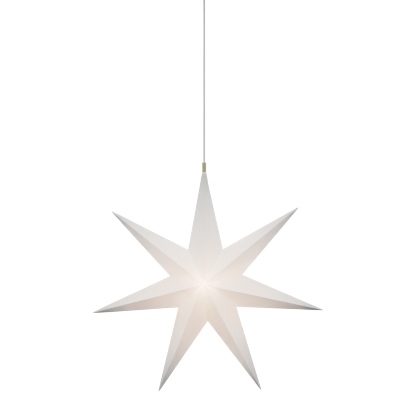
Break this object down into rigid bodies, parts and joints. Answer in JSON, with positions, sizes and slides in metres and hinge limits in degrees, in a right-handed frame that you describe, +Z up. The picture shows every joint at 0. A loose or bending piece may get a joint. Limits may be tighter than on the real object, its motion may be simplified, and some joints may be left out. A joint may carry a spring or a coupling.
{
  "type": "advent star pendant lamp",
  "caption": "Hanging folded-paper star lamp with pyramid arms, a metal neck sleeve, a textile cord, a small screw-base bulb inside and a round ceiling cup.",
  "frame": {"origin": "on the ceiling plane, at the middle of the bracket's top face", "axes": "+Z up, out of the ceiling; the star's front faces -Y and its width runs along X"},
  "size_m": [0.7254, 0.23, 1.2776],
  "materials": {
    "paper": "matte",
    "hook": "hooked",
    "loop": "looped",
    "brass": "satin",
    "nylon": "matte",
    "steel": "zinc plated",
    "cord": "braided textile",
    "holder_plastic": "matte",
    "holder_insert": "unglazed",
    "contact_brass": "bright",
    "wire_brown": "smooth",
    "wire_blue": "smooth",
    "bulb_glass": "opal",
    "bulb_cap": "bright",
    "bulb_black": "black",
    "solder": "dull",
    "stem_glass": "clear",
    "filament": "phosphor",
    "canopy_white": "fine texture",
    "block_white": "matte"
  },
  "bodies": {
    "ceiling_fitting": {"ceiling_bracket": "steel", "canopy_cup": "canopy_white", "canopy_screws": "steel", "grip_body": "nylon", "grip_nut": "steel", "grip_screw": "nylon", "terminal_block": "block_white", "terminal_screws": "steel", "canopy_wire_live": "wire_brown", "canopy_wire_neutral": "wire_blue", "cord_head": "cord"},
    "cord_root": {"cord_flex": "cord"},
    "cord": {"pendant_cord": "cord"},
    "star": {"arm_top": "paper", "neck_core": "nylon", "cord_stop": "steel", "lower_cord": "cord", "holder_nipple": "nylon", "holder_cap": "holder_plastic", "holder_skirt": "holder_plastic", "holder_insert": "holder_insert", "holder_thread": "contact_brass", "holder_contact": "contact_brass", "holder_screws": "contact_brass", "holder_wire_live": "wire_brown", "holder_wire_neutral": "wire_blue"},
    "sleeve": {"neck_sleeve": "brass", "neck_screw": "steel"},
    "bulb": {"bulb_glass": "bulb_glass", "bulb_thread": "bulb_cap", "bulb_insulator": "bulb_black", "bulb_tip": "solder", "bulb_stem": "stem_glass", "bulb_filaments": "filament"},
    "upper_right": {"arm_upper_right": "paper"},
    "right": {"arm_right": "paper"},
    "lower_right": {"arm_lower_right": "paper", "seam_hook_dots": "hook"},
    "lower_left": {"arm_lower_left": "paper", "seam_loop_dots": "loop"},
    "left": {"arm_left": "paper"},
    "upper_left": {"arm_upper_left": "paper"}
  },
  "joints": [
    {"name": "swing_front", "type": "hinge", "parent": "ceiling_fitting", "child": "cord_root", "pos_m": [0, 0, -0.044], "axis": [1, 0, 0], "range_deg": [-15, 15]},
    {"name": "swing_side", "type": "hinge", "parent": "cord_root", "child": "cord", "pos_m": [0, 0, -0.044], "axis": [0, 1, 0], "range_deg": [-15, 15]},
    {"name": "star_turn", "type": "hinge", "parent": "cord", "child": "star", "pos_m": [0, 0, -0.585], "axis": [0, 0, 1], "range_deg": [-180, 180], "stiffness_Nm_per_rad": 0.004},
    {"name": "sleeve_slide", "type": "slide", "parent": "star", "child": "sleeve", "axis": [0, 0, 1], "range_m": [0, 0.06]},
    {"name": "bulb_unscrew", "type": "hinge", "parent": "star", "child": "bulb", "pos_m": [0.00751, 0, -0.9388], "axis": [0, 0, 1], "continuous": true},
    {"name": "seam_upper_right", "type": "hinge", "parent": "star", "child": "upper_right", "pos_m": [0.00751, 0, -0.9388], "axis": [0, -1, 0], "range_deg": [0, 4.3], "deforming": ["arm_upper_right"]},
    {"name": "seam_right", "type": "hinge", "parent": "star", "child": "right", "pos_m": [0.00751, 0, -0.9388], "axis": [0, -1, 0], "range_deg": [0, 8.58], "deforming": ["arm_right"]},
    {"name": "seam_open", "type": "hinge", "parent": "star", "child": "lower_right", "pos_m": [0.00751, 0, -0.9388], "axis": [0, -1, 0], "range_deg": [0, 12.86], "deforming": ["arm_lower_right", "arm_top"]},
    {"name": "seam_lower_left", "type": "hinge", "parent": "star", "child": "lower_left", "pos_m": [0.00751, 0, -0.9388], "axis": [0, 1, 0], "range_deg": [0, 12.87], "deforming": ["arm_lower_left"]},
    {"name": "seam_left", "type": "hinge", "parent": "star", "child": "left", "pos_m": [0.00751, 0, -0.9388], "axis": [0, 1, 0], "range_deg": [0, 8.58], "deforming": ["arm_left"]},
    {"name": "seam_upper_left", "type": "hinge", "parent": "star", "child": "upper_left", "pos_m": [0.00751, 0, -0.9388], "axis": [0, 1, 0], "range_deg": [0, 4.3], "deforming": ["arm_upper_left"]}
  ],
  "couplings": [
    {"joint": "seam_upper_right", "follows": "seam_open", "ratio": 0.33333},
    {"joint": "seam_right", "follows": "seam_open", "ratio": 0.66667},
    {"joint": "seam_lower_left", "follows": "seam_open", "ratio": 1},
    {"joint": "seam_left", "follows": "seam_open", "ratio": 0.66667},
    {"joint": "seam_upper_left", "follows": "seam_open", "ratio": 0.33333}
  ]
}
